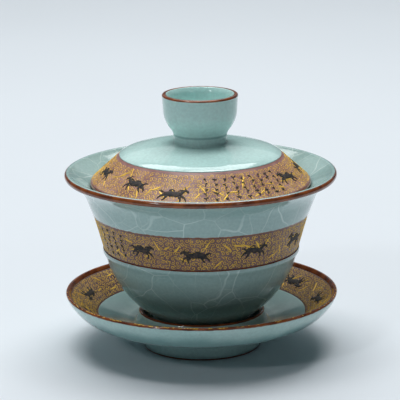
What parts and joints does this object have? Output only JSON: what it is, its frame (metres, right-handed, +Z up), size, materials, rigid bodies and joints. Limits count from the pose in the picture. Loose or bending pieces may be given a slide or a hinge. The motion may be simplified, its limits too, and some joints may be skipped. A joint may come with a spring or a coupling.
{
  "type": "gaiwan",
  "caption": "Lidded tea bowl on a saucer: flared bowl with a turned foot, low domed lid with a hollow cup-shaped knob, and a dished saucer with a raised seat ring.",
  "frame": {"origin": "centre of the ring that the saucer stands on, on the table plane", "axes": "+Z up along the common axis of saucer, bowl and lid; +X to the right and +Y to the back, all directions around the axis being alike"},
  "size_m": [0.1057, 0.1056, 0.0999],
  "materials": {
    "celadon_glaze": "pale blue-green crackled gloss glaze",
    "brown_rim_glaze": "glossy iron-brown glaze",
    "patterned_band": "matte purple-brown ground with fine raised gold scrolls and dark brushwork",
    "bare_foot": "bare dark clay, matte"
  },
  "bodies": {
    "saucer": {"saucer_dish": "celadon_glaze", "saucer_lip": "brown_rim_glaze", "saucer_band": "patterned_band", "saucer_seat_ring": "celadon_glaze", "saucer_foot_edge": "bare_foot"},
    "bowl": {"bowl_wall": "celadon_glaze", "bowl_lip": "brown_rim_glaze", "bowl_band": "patterned_band", "bowl_foot_edge": "bare_foot"},
    "lid": {"lid_dome": "celadon_glaze", "lid_lip": "bare_foot", "lid_band": "patterned_band", "lid_knob": "celadon_glaze", "knob_lip": "brown_rim_glaze"}
  },
  "joints": [
    {"name": "bowl_lift", "type": "slide", "parent": "saucer", "child": "bowl", "axis": [0, 0, 1], "range_m": [0, 0.06]},
    {"name": "lid_lift", "type": "slide", "parent": "bowl", "child": "lid", "axis": [0, 0, 1], "range_m": [0, 0.06]}
  ]
}
